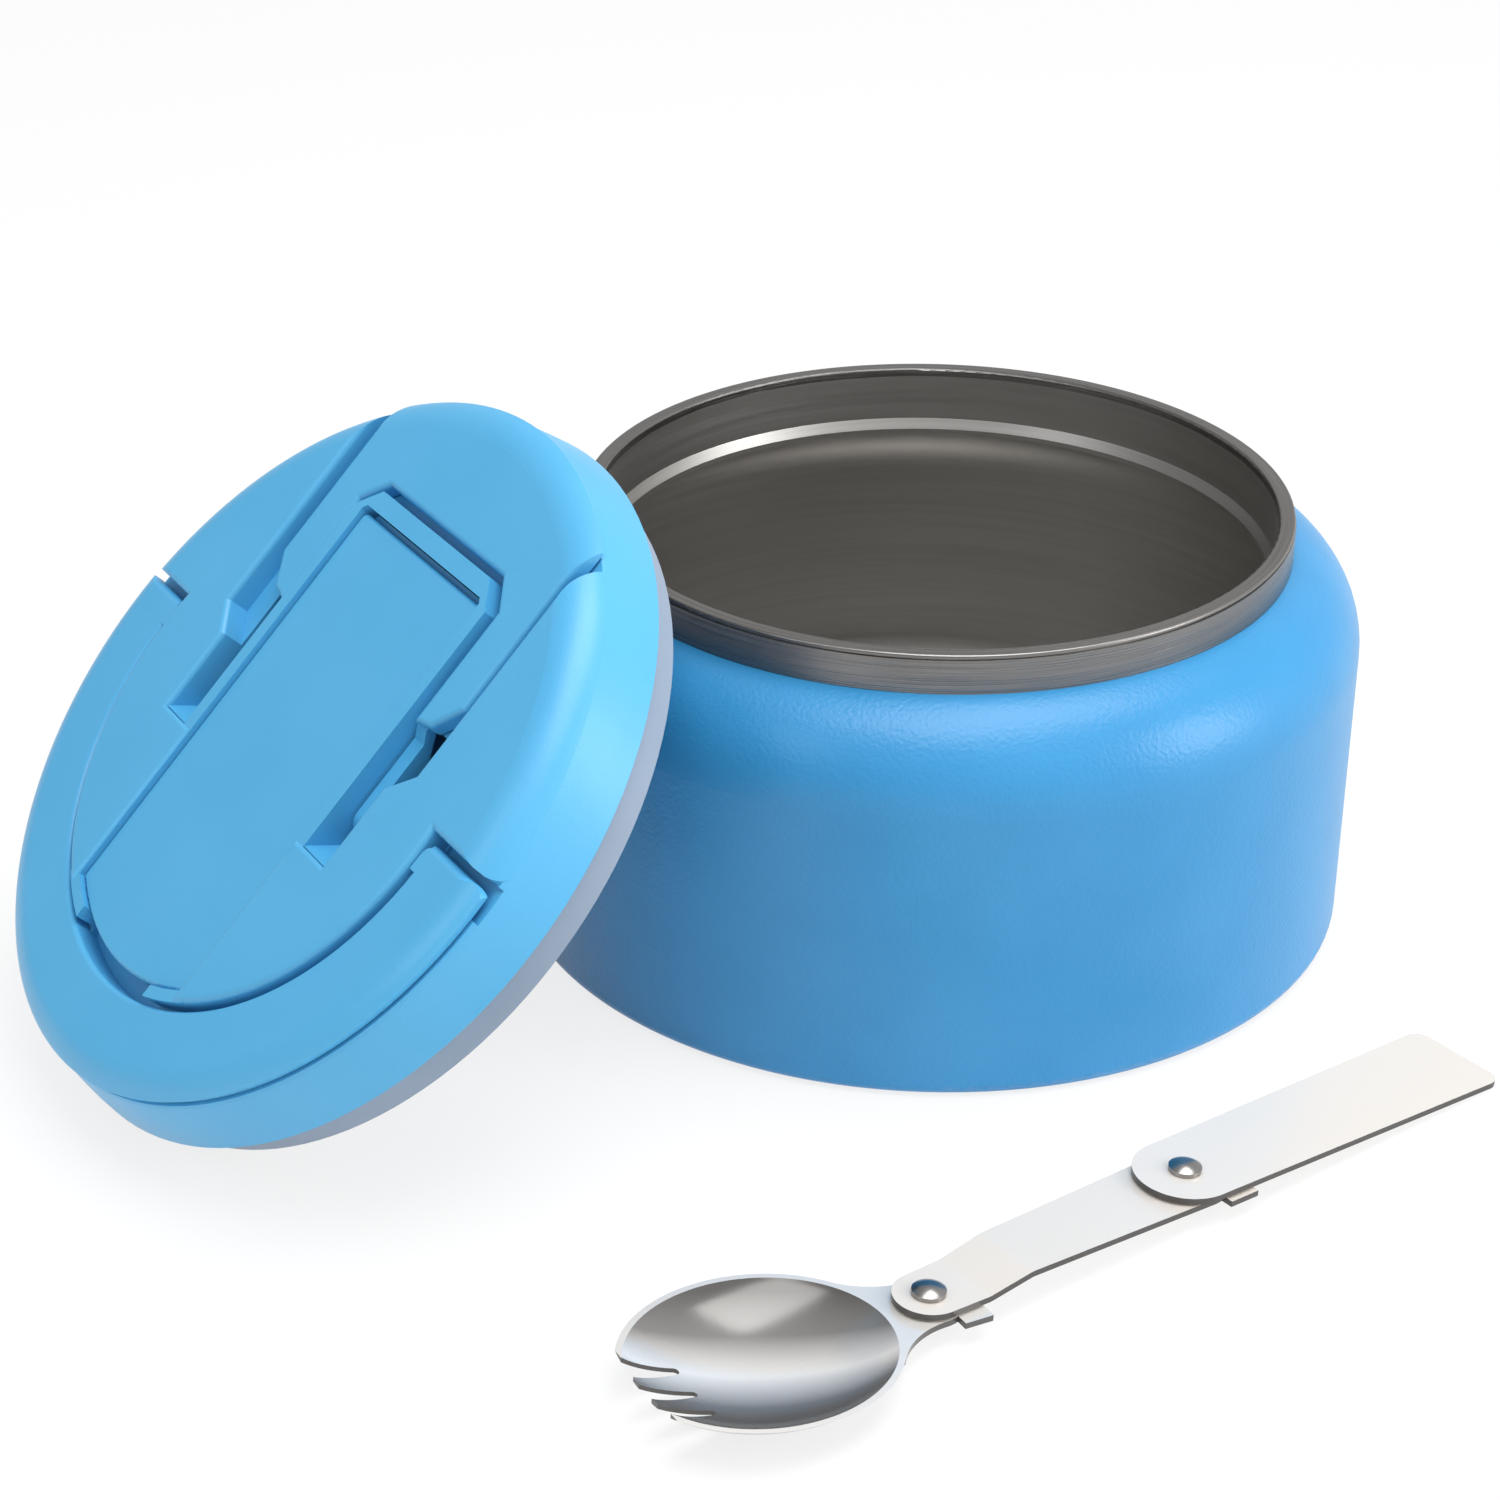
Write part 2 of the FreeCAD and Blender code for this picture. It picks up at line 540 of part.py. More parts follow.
def vent_flap():
    """Blue cap over the vent: a plate from the compartment's frame to the rim, two legs beside the
    frame and two swan-neck arms that run down through the slots to the hinge."""
    body = new_body("vent_flap")
    top, under, half, rim = dim("flap_top"), dim("flap_under"), dim("flap_half"), dim("flap_rim")
    gap, far, chamfer = dim("flap_gap_half"), dim("flap_gap_end"), dim("flap_gap_chamfer")
    leg_end, foot, tip, step = dim("leg_end"), dim("leg_foot"), dim("leg_tip"), dim("leg_step")
    plate = [
        (half, leg_end), (half, leg(rim, half), rim, 1), (-half, leg(rim, half)), (-half, leg_end),
        (-step, foot), (-gap, tip), (-gap, far - chamfer), (-(gap - chamfer), far), (gap - chamfer, far),
        (gap, far - chamfer), (gap, tip), (step, foot)]
    extrude(body, "XY_Plane", [plate], under, top)
    soften(body, dim("soft_edge"), all_of(level(top), inside(dim("crown_radius"))))
    crown, crown_foot = dim("flap_crown"), under + dim("flap_crown_foot")
    turn(body, [
        (crown, top, dim("flap_crown_arc"), -1), (rim, crown_foot), (rim + 3.0, crown_foot),
        (rim + 3.0, top + 1.0), (crown, top + 1.0)], cut=True)
    hinge_y, hinge_z, bend = dim("flap_hinge_y"), dim("flap_hinge_z"), dim("arm_round")
    web = under + dim("arm_web")
    arm = [
        (hinge_y, hinge_z + bend, bend, 1), (hinge_y - bend, hinge_z, bend, 1), (hinge_y, hinge_z - bend),
        (dim("arm_knee_y"), dim("arm_knee_z")), (tip + 0.4, under - 0.6), (tip + 0.7, under),
        (leg_end, under), (leg_end, web), (tip, web), (tip - 2.0, hinge_z + bend)]
    hole = ("circle", hinge_y, hinge_z, dim("flap_pin_radius") + dim("running_fit"))
    for start, end in both_sides(dim("arm_inner"), dim("arm_outer")):
        extrude(body, "YZ_Plane", [arm], start, end)
        remove(body, "YZ_Plane", [hole], start, end)


def vent_valve():
    """Silicone plug in the vent hole of the deck, held down by the closed flap."""
    body = new_body("vent_valve")
    deck, y = dim("deck_top"), dim("valve_y")
    stem, head = ("circle", 0, y, dim("valve_stem")), ("circle", 0, y, dim("valve_head"))
    extrude(body, "XY_Plane", [stem], dim("deck_under") - 1.2, deck)
    extrude(body, "XY_Plane", [head], deck, dim("flap_under") - dim("face_play"))


def carry_handle():
    """Half-round bail handle with its two ends rounded about the hinge line."""
    body = new_body("carry_handle")
    inner, outer = dim("handle_inner"), dim("handle_outer")
    top, under = dim("handle_top"), dim("handle_under")
    turn(body, [
        (inner, under), (outer - 0.6, under), (outer, under + 1.4, 6.5, 1), (dim("handle_flat"), top),
        (inner + 0.9, top, 0.9, 1), (inner, top - 0.9)])
    reach = outer + 3.0
    end = dim("handle_end")
    remove(body, "XY_Plane", [rectangle(-reach, reach, end, reach)], under - 1.0, top + 1.0)
    y, z, bend = dim("handle_hinge_y"), dim("handle_hinge_z"), dim("handle_end_round")
    boss, foot, round_in, round_out = (
        dim("handle_boss"), dim("boss_foot"), dim("boss_round"), dim("handle_corner"))
    bulge = [
        (boss, foot), (inner + 1.5, foot), (inner + 1.5, end), (boss + round_in, end, round_in, 1),
        (boss, end - round_in)]
    outer_corner = [
        (outer - round_out, end, round_out, -1), (outer, end - round_out), (outer + 1.0, end - round_out),
        (outer + 1.0, end + 1.0), (outer - round_out, end + 1.0)]
    for outline in (bulge, mirrored(bulge)):
        extrude(body, "XY_Plane", [outline], under, top)
    for outline in (outer_corner, mirrored(outer_corner)):
        remove(body, "XY_Plane", [outline], under - 1.0, top + 1.0)
    start, stop = y + leg(bend, z - under), z - leg(bend, end - y)
    under_corner = [
        (start, under, bend, 1), (end, stop), (end + 1.0, stop), (end + 1.0, under - 1.0),
        (start, under - 1.0)]
    soft = dim("end_round")
    top_corner = [
        (end - soft, top, soft, -1), (end, top - soft), (end + 1.0, top - soft), (end + 1.0, top + 1.0),
        (end - soft, top + 1.0)]
    remove(body, "YZ_Plane", [under_corner, top_corner], -reach, reach)
    hole = ("circle", y, z, dim("handle_pin_radius") + dim("running_fit"))
    for start, stop in both_sides(dim("handle_boss") - 0.5, dim("handle_pin_outer") + 0.2):
        remove(body, "YZ_Plane", [hole], start, stop)


def pin_pair(name, y, z, radius, start, end):
    """Two like pins in line across the lid, made as one node of two separate solids."""
    cylinders = []
    for side, (low, high) in zip(("right", "left"), both_sides(start, end)):
        pin = doc.addObject("Part::Cylinder", "%s_%s" % (name, side))
        pin.setExpression("Radius", size(radius).text)
        pin.setExpression("Height", (high - low).text)
        pin.Placement = FreeCAD.Placement(FreeCAD.Vector(), FreeCAD.Rotation(FreeCAD.Vector(0, 1, 0), 90))
        pin.setExpression("Placement.Base.x", low.text)
        pin.setExpression("Placement.Base.y", size(y).text)
        pin.setExpression("Placement.Base.z", size(z).text)
        cylinders.append(pin)
    pair = doc.addObject("Part::Compound", name)
    pair.Links = cylinders
    pair.Label = name
    PIECES.append(pair)


# Heights of the spork's sheets above the underside of the bowl's neck
sheet_thickness = dim("sheet")
link_under = sheet_thickness + dim("washer_height")
link_top = link_under + sheet_thickness
link_high = link_under + dim("bend_rise")
grip_under = link_high + sheet_thickness + dim("washer_height")
grip_top = grip_under + sheet_thickness


def cut(name, base, tool):
    result = doc.addObject("Part::Cut", name)
    result.Base = base
    result.Tool = tool
    result.Label = name
    return result


def spork_bowl():
    """Dished bowl with four tines, and the neck that carries the first rivet."""
    bowl_top, curve = sheet_thickness, dim("bowl_curve")
    centre_z = curve - dim("bowl_depth")
    rise = centre_z - bowl_top
    spread = leg(1.0, Size(rise.value / curve.value, "(%s) / (%s)" % (rise.text, curve.text)))
    dishes = []
    for name, less in (("bowl_outside", size(0)), ("bowl_inside", dim("bowl_sheet"))):
        dish = doc.addObject("Part::Ellipsoid", name)
        dish.setExpression("Radius1", (curve - less).text)
        for radius, half in (("Radius2", dim("bowl_half_length")), ("Radius3", dim("bowl_half_width"))):
            dish.setExpression(radius, "%s / %s - %s" % (half.text, spread.text, less.text))
        dish.Angle1, dish.Angle2, dish.Angle3 = -90, 90, 360
        dish.setExpression("Placement.Base.x", (-dim("bowl_centre")).text)
        dish.setExpression("Placement.Base.z", centre_z.text)
        dishes.append(dish)
    above = doc.addObject("Part::Box", "above_the_rim")
    above.Length, above.Width, above.Height = 120, 120, 60
    above.Placement.Base = FreeCAD.Vector(-100, -60, 0)
    above.setExpression("Placement.Base.z", bowl_top.text)
    cap = cut("bowl_cap", dishes[0], above)
    neck = new_body("bowl_neck")
    PIECES.remove(neck)
    half = dim("neck_half")
    flare_x, flare_y, flare = dim("neck_flare_x"), dim("neck_flare_y"), dim("neck_flare")
    outline = [
        (-flare_x - 5.0, -flare_y), (-flare_x, -flare_y, flare, -1), (0, -half, half, 1),
        (half, 0, half, 1), (0, half, flare, -1), (-flare_x, flare_y), (-flare_x - 5.0, flare_y)]
    extrude(neck, "XY_Plane", [outline], 0, bowl_top)
    tab = rectangle(
        dim("bowl_tab_start"), dim("bowl_tab_end"), -half - dim("bowl_tab_out"), -half * 0.5)
    extrude(neck, "XY_Plane", [tab], 0, bowl_top)
    remove(neck, "XY_Plane", [("circle", 0, 0, dim("rivet_shank"))], 0, bowl_top)
    whole = doc.addObject("Part::MultiFuse", "bowl_and_neck")
    whole.Shapes = [cap, neck]
    dished = cut("dished_bowl", whole, dishes[1])
    slots = new_body("tine_slots")
    PIECES.remove(slots)
    root, tip, reach = dim("tine_root"), dim("tine_tip"), dim("bowl_half_width")
    narrow, wide = dim("tine_slot") * 0.5, dim("tine_gap") * 0.5
    extrude(slots, "XY_Plane", [rectangle(-tip - reach, -tip, -reach, reach)], -8.0, 4.0)
    for row in (-1.0, 0.0, 1.0):
        y = dim("tine_pitch") * row
        outline = [
            (-root, y - narrow, narrow, 1), (narrow - root, y, narrow, 1), (-root, y + narrow),
            (-tip - 1.0, y + wide), (-tip - 1.0, y - wide)]
        extrude(slots, "XY_Plane", [outline], -8.0, 4.0)
    bowl = cut("spork_bowl", dished, slots)
    PIECES.append(bowl)


def spork_link():
    """Middle sheet with a step near the bowl, so that the handle clears the first rivet."""
    body = new_body("spork_link")
    near, far, span = dim("link_near"), dim("link_far"), dim("rivet_spacing")
    outline = [
        (0, near, near, 1), (-near, 0, near, 1), (0, -near), (span, -far, far, 1), (span + far, 0, far, 1),
        (span, far)]
    high = link_high + sheet_thickness
    tab = rectangle(span + dim("link_tab_start"), span + dim("link_tab_end"), -far - dim("link_tab_out"),
                    -far * 0.5)
    for loop in (outline, tab):
        extrude(body, "XY_Plane", [loop], link_under, high)
    bend, end, lag = dim("bend_start"), dim("bend_end"), dim("bend_lag")
    above = [(-12.0, link_top), (bend, link_top), (end, high), (end, high + 1.0), (-12.0, high + 1.0)]
    below = [(bend + lag, link_under), (bend + lag, link_under - 1.0), (span + 20.0, link_under - 1.0),
             (span + 20.0, link_high), (end + lag, link_high)]
    remove(body, "XZ_Plane", [above, below], -20.0, 20.0)
    folds = [fold.value for fold in (bend, bend + lag, end, end + lag)]
    soften(body, dim("bend_round"), lambda edge: edge.BoundBox.XLength < 1e-3
           and edge.BoundBox.YLength > near.value
           and min(abs(edge.BoundBox.XMin - fold) for fold in folds) < 1e-3)
    turning = ("circle", 0, 0, dim("rivet_shank") + dim("running_fit"))
    remove(body, "XY_Plane", [turning], link_under - 0.5, link_top + 0.5)
    remove(body, "XY_Plane", [("circle", span, 0, dim("rivet_shank"))], link_high - 0.5, high + 0.5)


def spork_handle():
    """Outer sheet: round at the rivet, a little wider towards its far end, rounded corners."""
    body = new_body("spork_handle")
    near, far, corner = dim("grip_near"), dim("grip_far"), dim("grip_corner")
    start = dim("rivet_spacing")
    end = start + dim("grip_length")
    outline = [
        (start, near, near, 1), (start - near, 0, near, 1), (start, -near), (end - corner, -far, corner, 1),
        (end, corner - far), (end, far - corner, corner, 1), (end - corner, far)]
    extrude(body, "XY_Plane", [outline], grip_under, grip_top)
    turning = ("circle", start, 0, dim("rivet_shank") + dim("running_fit"))
    remove(body, "XY_Plane", [turning], grip_under - 0.5, grip_top + 0.5)


def rivet(name, foot_top, head_under):
    """Rivet: flat foot under the lower sheet, shank, head with a short edge and a domed top."""
    body = new_body(name)
    head, shank, foot = dim("rivet_head"), dim("rivet_shank"), dim("rivet_foot")
    edge, dome = dim("rivet_edge"), dim("rivet_dome")
    bottom = foot_top - dim("rivet_foot_height")
    head_under = head_under + dim("face_play")
    sphere = cap_radius(head, dome)
    turn(body, [
        (0, bottom), (foot, bottom), (foot, foot_top), (shank, foot_top), (shank, head_under),
        (head, head_under), (head, head_under + edge, sphere, 1), (0, head_under + edge + dome)])


def washer(name, low, high):
    """Flat ring between two sheets, a little thinner than the gap."""
    body = new_body(name)
    rings = [("circle", 0, 0, dim("washer_radius")), ("circle", 0, 0, dim("rivet_shank"))]
    extrude(body, "XY_Plane", rings, low, high - dim("face_play"))


def put(names, placement):
    for piece in PIECES:
        if piece.Label in names:
            piece.Placement = placement.multiply(piece.Placement)


# The jar
for make in (outer_shell, neck_band, inner_vessel, base_plate, getter, vacuum_seal):
    make()

# The lid, its plug and its moving pieces
LID_PIECES = (lid_shell, inner_plug, lid_seal, plug_foam, plug_cover, spork_tray, vent_valve,
              compartment_cover, vent_flap, carry_handle)
for make in LID_PIECES:
    make()
panel_middle = dim("panel_top") - dim("panel_thickness") * 0.5
PIN_PAIRS = {
    "cover_pins": (dim("panel_hinge"), panel_middle, dim("cover_pin_radius"),
                   dim("panel_half") - 2.3, dim("rib_outer") - 0.8),
    "flap_pins": (dim("flap_hinge_y"), dim("flap_hinge_z"), dim("flap_pin_radius"),
                  dim("rib_outer") - dim("lug_width"), dim("slot_outer") + dim("lug_width")),
    "handle_pins": (dim("handle_hinge_y"), dim("handle_hinge_z"), dim("handle_pin_radius"),
                    dim("handle_pin_inner"), dim("handle_pin_outer")),
}
for name, values in PIN_PAIRS.items():
    pin_pair(name, *values)

# The spork
spork_bowl()
rivet("bowl_rivet", size(0), link_top)
washer("bowl_washer", sheet_thickness, link_under)
spork_link()
rivet("handle_rivet", link_high, grip_top)
washer("link_washer", link_high + sheet_thickness, grip_under)
spork_handle()
doc.recompute()

# Everything where it lies
up = FreeCAD.Vector(0, 0, 1)
lid_place = FreeCAD.Placement(
    FreeCAD.Vector(*LID_CENTRE),
    FreeCAD.Rotation(up, LID_TURN) * FreeCAD.Rotation(FreeCAD.Vector(1, 0, 0), LID_TILT))
put([make.__name__ for make in LID_PIECES] + list(PIN_PAIRS), lid_place)


def rest_on_floor():
    """Pitch and height at which the round bowl and the handle's far end both just touch the floor."""
    centre_z = DIMENSIONS["bowl_curve"] - DIMENSIONS["bowl_depth"]
    curve = DIMENSIONS["bowl_curve"]
    spread = math.sqrt(1.0 - ((centre_z - DIMENSIONS["sheet"]) / curve) ** 2)
    half_length = DIMENSIONS["bowl_half_length"] / spread
    bowl_x = -DIMENSIONS["bowl_centre"] * math.cos(math.radians(BOWL_TURN))
    end_x = DIMENSIONS["rivet_spacing"] + DIMENSIONS["grip_length"]
    low, high = 0.0, math.radians(10.0)
    for _ in range(40):
        pitch = (low + high) / 2
        drop = math.hypot(half_length * math.sin(pitch), curve * math.cos(pitch))
        height = drop + bowl_x * math.sin(pitch) - centre_z * math.cos(pitch)
        end_z = height + grip_under.value * math.cos(pitch) - end_x * math.sin(pitch)
        low, high = (pitch, high) if end_z > 0 else (low, pitch)
    return math.degrees(pitch), height


pitch, height = rest_on_floor()
spork_place = FreeCAD.Placement(
    FreeCAD.Vector(SPORK_RIVET[0], SPORK_RIVET[1], height),
    FreeCAD.Rotation(up, SPORK_TURN) * FreeCAD.Rotation(FreeCAD.Vector(0, 1, 0), pitch))
bowl_place = spork_place.multiply(FreeCAD.Placement(FreeCAD.Vector(), FreeCAD.Rotation(up, BOWL_TURN)))
put(["spork_bowl", "bowl_rivet", "bowl_washer"], bowl_place)
put(["spork_link", "spork_handle"], spork_place)
second_rivet = FreeCAD.Placement(FreeCAD.Vector(DIMENSIONS["rivet_spacing"], 0, 0), FreeCAD.Rotation())
put(["handle_rivet", "link_washer"], spork_place.multiply(second_rivet))
doc.recompute()

# Checks, then one file for each piece
for item in doc.Objects:
    if "Invalid" in item.State or "Error" in item.State:
        raise RuntimeError("%s failed: %s" % (item.Label, item.State))
for piece in PIECES:
    if piece.Shape.isNull() or not piece.Shape.isValid():
        raise RuntimeError("%s has no valid shape" % piece.Label)
os.makedirs("parts", exist_ok=True)
for piece in PIECES:
    piece.Shape.exportStep("parts/%s.step" % piece.Label)
    box = piece.Shape.BoundBox
    print("%-18s %2d solid %9.1f mm3  z %7.2f to %7.2f" % (
        piece.Label, len(piece.Shape.Solids), piece.Shape.Volume, box.ZMin, box.ZMax))
print("spork pitch %.4f degrees, first rivet at height %.4f" % (pitch, height))
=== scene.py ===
import math

import bmesh
import bpy
from mathutils import Matrix, Vector

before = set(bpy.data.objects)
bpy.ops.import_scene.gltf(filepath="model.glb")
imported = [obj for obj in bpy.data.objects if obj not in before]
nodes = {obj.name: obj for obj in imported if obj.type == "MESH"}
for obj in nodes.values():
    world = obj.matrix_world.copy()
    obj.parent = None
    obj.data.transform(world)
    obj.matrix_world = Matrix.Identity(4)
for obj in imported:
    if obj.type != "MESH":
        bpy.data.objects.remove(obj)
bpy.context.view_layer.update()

# The photograph's camera; lengths are in metres
FRAME_PIXELS = 1500
LENS = 84.0
SENSOR = 36.0
NEAREST = 0.01
CAMERA_PITCH = math.radians(28.1895)
CAMERA_ROLL = math.radians(0.5893)
CAMERA_DISTANCE = 0.624684
JAR_FOOT_PIXEL = (923.3061, 870.0725)


def add_camera():
    """The camera, placed so that the middle of the jar's foot falls on its pixel."""
    focal = LENS / SENSOR * FRAME_PIXELS
    across = (JAR_FOOT_PIXEL[0] - FRAME_PIXELS / 2) / focal
    down = (JAR_FOOT_PIXEL[1] - FRAME_PIXELS / 2) / focal
    forward = Vector((0.0, math.cos(CAMERA_PITCH), -math.sin(CAMERA_PITCH)))
    level_right = Vector((1.0, 0.0, 0.0))
    level_up = level_right.cross(forward)
    right = math.cos(CAMERA_ROLL) * level_right + math.sin(CAMERA_ROLL) * level_up
    up = math.cos(CAMERA_ROLL) * level_up - math.sin(CAMERA_ROLL) * level_right
    toward_foot = (right * across - up * down + forward).normalized()
    place = -toward_foot * CAMERA_DISTANCE
    data = bpy.data.cameras.new("camera")
    data.lens = LENS
    data.sensor_width = SENSOR
    data.sensor_fit = "HORIZONTAL"
    data.clip_start = NEAREST
    camera = bpy.data.objects.new("camera", data)
    turn = Matrix((right, up, -forward)).transposed()
    camera.matrix_world = Matrix.Translation(place) @ turn.to_4x4()
    bpy.context.scene.collection.objects.link(camera)
    bpy.context.scene.camera = camera


def srgb(red, green, blue):
    """A colour given as it looks on a screen, 0 to 255, in the linear values that shaders take."""
    channels = []
    for value in (red, green, blue):
        share = value / 255.0
        channels.append(share / 12.92 if share <= 0.04045 else ((share + 0.055) / 1.055) ** 2.4)
    return (*channels, 1.0)


def link_nodes(tree, start, end):
    tree.links.new(start, end)


def add_node(tree, kind, **settings):
    node = tree.nodes.new(kind)
    for name, value in settings.items():
        setattr(node, name, value)
    return node


def math_node(tree, operation, first, second=None):
    node = add_node(tree, "ShaderNodeMath", operation=operation)
    for socket, value in zip(node.inputs, (first, second)):
        if value is None:
            continue
        if isinstance(value, (int, float)):
            socket.default_value = value
        else:
            link_nodes(tree, value, socket)
    return node.outputs[0]


def new_group(name, inputs, outputs):
    """An empty shader group with named number inputs and named outputs."""
    group = bpy.data.node_groups.new(name, "ShaderNodeTree")
    for label, value in inputs.items():
        socket = group.interface.new_socket(label, in_out="INPUT", socket_type="NodeSocketFloat")
        socket.default_value = value
    group.interface.new_socket("Vector", in_out="INPUT", socket_type="NodeSocketVector")
    for label in outputs:
        group.interface.new_socket(label, in_out="OUTPUT", socket_type="NodeSocketFloat")
    return group, group.nodes.new("NodeGroupInput"), group.nodes.new("NodeGroupOutput")


def build_peel():
    """Orange peel of sprayed or moulded skins: fine rounded bumps over a faint slow swell."""
    group, given, result = new_group("skin_peel", {"Scale": 900.0, "Swell": 60.0}, ("Height", "Mask"))
    fine = add_node(group, "ShaderNodeTexNoise", noise_dimensions="3D")
    slow = add_node(group, "ShaderNodeTexNoise", noise_dimensions="3D")
    for noise, scale, detail in ((fine, "Scale", 1.0), (slow, "Swell", 2.0)):
        noise.inputs["Detail"].default_value = detail
        link_nodes(group, given.outputs["Vector"], noise.inputs["Vector"])
        link_nodes(group, given.outputs[scale], noise.inputs["Scale"])
    swell = math_node(group, "MULTIPLY", slow.outputs["Fac"], 0.35)
    link_nodes(group, math_node(group, "ADD", fine.outputs["Fac"], swell), result.inputs["Height"])
    link_nodes(group, slow.outputs["Fac"], result.inputs["Mask"])
    return group


def build_smudges():
    """Soft uneven patches that handling leaves in a gloss."""
    group, given, result = new_group("handling_smudges", {"Scale": 30.0}, ("Mask",))
    noise = add_node(group, "ShaderNodeTexNoise", noise_dimensions="3D")
    noise.inputs["Detail"].default_value = 5.0
    noise.inputs["Roughness"].default_value = 0.6
    noise.inputs["Distortion"].default_value = 0.4
    link_nodes(group, given.outputs["Vector"], noise.inputs["Vector"])
    link_nodes(group, given.outputs["Scale"], noise.inputs["Scale"])
    link_nodes(group, noise.outputs["Fac"], result.inputs["Mask"])
    return group


def build_turned_streaks():
    """Fine lines that run round an upright axis through the vector's zero, as on a turned ring."""
    group, given, result = new_group(
        "turned_streaks", {"Lines": 2500.0, "Run": 2.5}, ("Height", "Mask"))
    parts = add_node(group, "ShaderNodeSeparateXYZ")
    link_nodes(group, given.outputs["Vector"], parts.inputs[0])
    x, y, z = parts.outputs
    angle = math_node(group, "ARCTAN2", y, x)
    across = math_node(group, "SQRT", math_node(group, "ADD", math_node(group, "MULTIPLY", x, x),
                                                math_node(group, "MULTIPLY", y, y)))
    line = math_node(group, "MULTIPLY", math_node(group, "ADD", z, across), given.outputs["Lines"])
    run = math_node(group, "MULTIPLY", angle, given.outputs["Run"])
    joined = add_node(group, "ShaderNodeCombineXYZ")
    link_nodes(group, line, joined.inputs[0])
    link_nodes(group, run, joined.inputs[1])
    noise = add_node(group, "ShaderNodeTexNoise", noise_dimensions="2D")
    noise.inputs["Scale"].default_value = 1.0
    noise.inputs["Detail"].default_value = 3.0
    link_nodes(group, joined.outputs[0], noise.inputs["Vector"])
    link_nodes(group, noise.outputs["Fac"], result.inputs["Height"])
    link_nodes(group, noise.outputs["Fac"], result.inputs["Mask"])
    return group


def build_painted_edge_shade():
    """Mask for painted shade: one on the upright edges of level sheet metal, zero on its faces."""
    group, given, result = new_group("painted_edge_shade", {"Level": 0.8}, ("Mask",))
    parts = add_node(group, "ShaderNodeSeparateXYZ")
    link_nodes(group, given.outputs["Vector"], parts.inputs[0])
    upright = math_node(group, "ABSOLUTE", parts.outputs["Z"])
    link_nodes(group, math_node(group, "LESS_THAN", upright, given.outputs["Level"]), result.inputs["Mask"])
    return group


PEEL = build_peel()
SMUDGES = build_smudges()
STREAKS = build_turned_streaks()
EDGE_SHADE_MASK = build_painted_edge_shade()


# Between these two values lies nearly all of a noise texture
MASK_LOW, MASK_HIGH = 0.3, 0.7


class Finish:
    """A material whose principled shader is fed step by step."""

    def __init__(self, name, colour, roughness, metallic=0.0):
        self.material = bpy.data.materials.new(name)
        self.material.use_nodes = True
        self.tree = self.material.node_tree
        self.shader = self.tree.nodes["Principled BSDF"]
        self.shader.inputs["Base Color"].default_value = colour
        self.shader.inputs["Roughness"].default_value = roughness
        self.shader.inputs["Metallic"].default_value = metallic
        place = add_node(self.tree, "ShaderNodeTexCoord")
        self.place = place.outputs["Object"]
        self.facing = place.outputs["Normal"]

    def group(self, tree, vector=None, **values):
        node = add_node(self.tree, "ShaderNodeGroup", node_tree=tree)
        link_nodes(self.tree, vector or self.place, node.inputs["Vector"])
        for label, value in values.items():
            node.inputs[label].default_value = value
        return node

    def spread(self, mask, low, high):
        """The mask's middle range turned into numbers from low to high."""
        node = add_node(self.tree, "ShaderNodeMapRange")
        node.inputs["From Min"].default_value = MASK_LOW
        node.inputs["From Max"].default_value = MASK_HIGH
        node.inputs["To Min"].default_value = low
        node.inputs["To Max"].default_value = high
        link_nodes(self.tree, mask, node.inputs["Value"])
        return node.outputs[0]

    def gloss(self, mask, low, high):
        """Roughness that wanders from low to high."""
        link_nodes(self.tree, self.spread(mask, low, high), self.shader.inputs["Roughness"])

    def shade(self, mask, first, second):
        """Base colour that wanders from the first to the second."""
        mix = add_node(self.tree, "ShaderNodeMix", data_type="RGBA")
        mix.inputs["A"].default_value = first
        mix.inputs["B"].default_value = second
        link_nodes(self.tree, self.spread(mask, 0.0, 1.0), mix.inputs["Factor"])
        link_nodes(self.tree, mix.outputs["Result"], self.shader.inputs["Base Color"])

    def bump(self, height, distance):
        """Relief as deep as the distance."""
        node = add_node(self.tree, "ShaderNodeBump")
        node.inputs["Distance"].default_value = distance
        node.inputs["Strength"].default_value = 1.0
        link_nodes(self.tree, height, node.inputs["Height"])
        link_nodes(self.tree, node.outputs["Normal"], self.shader.inputs["Normal"])


def powder_coat():
    """Matt blue coat of the jar, with a fine peel."""
    finish = Finish("blue_powder_coat", srgb(50, 142, 198), 0.36)
    peel = finish.group(PEEL, Scale=1400.0, Swell=45.0)
    smudges = finish.group(SMUDGES, Scale=25.0)
    finish.shade(peel.outputs["Mask"], srgb(46, 139, 195), srgb(54, 145, 201))
    finish.gloss(smudges.outputs["Mask"], 0.33, 0.38)
    finish.bump(peel.outputs["Height"], 0.00008)
    return finish.material


def moulded_blue():
    """Lighter blue plastic of the lid."""
    finish = Finish("blue_moulded_lid", srgb(82, 172, 220), 0.32)
    peel = finish.group(PEEL, Scale=2600.0, Swell=35.0)
    smudges = finish.group(SMUDGES, Scale=40.0)
    finish.shade(peel.outputs["Mask"], srgb(79, 170, 218), srgb(85, 174, 222))
    finish.gloss(smudges.outputs["Mask"], 0.32, 0.40)
    finish.bump(peel.outputs["Height"], 0.00002)
    return finish.material


def brushed_band():
    """Bare steel of the neck and lip, turned with fine lines."""
    finish = Finish("brushed_steel_band", srgb(132, 130, 128), 0.3, 1.0)
    streaks = finish.group(STREAKS, Lines=5000.0, Run=1.5)
    finish.shade(streaks.outputs["Mask"], srgb(122, 120, 118), srgb(142, 140, 138))
    finish.gloss(streaks.outputs["Mask"], 0.26, 0.34)
    finish.bump(streaks.outputs["Height"], 0.00006)
    return finish.material


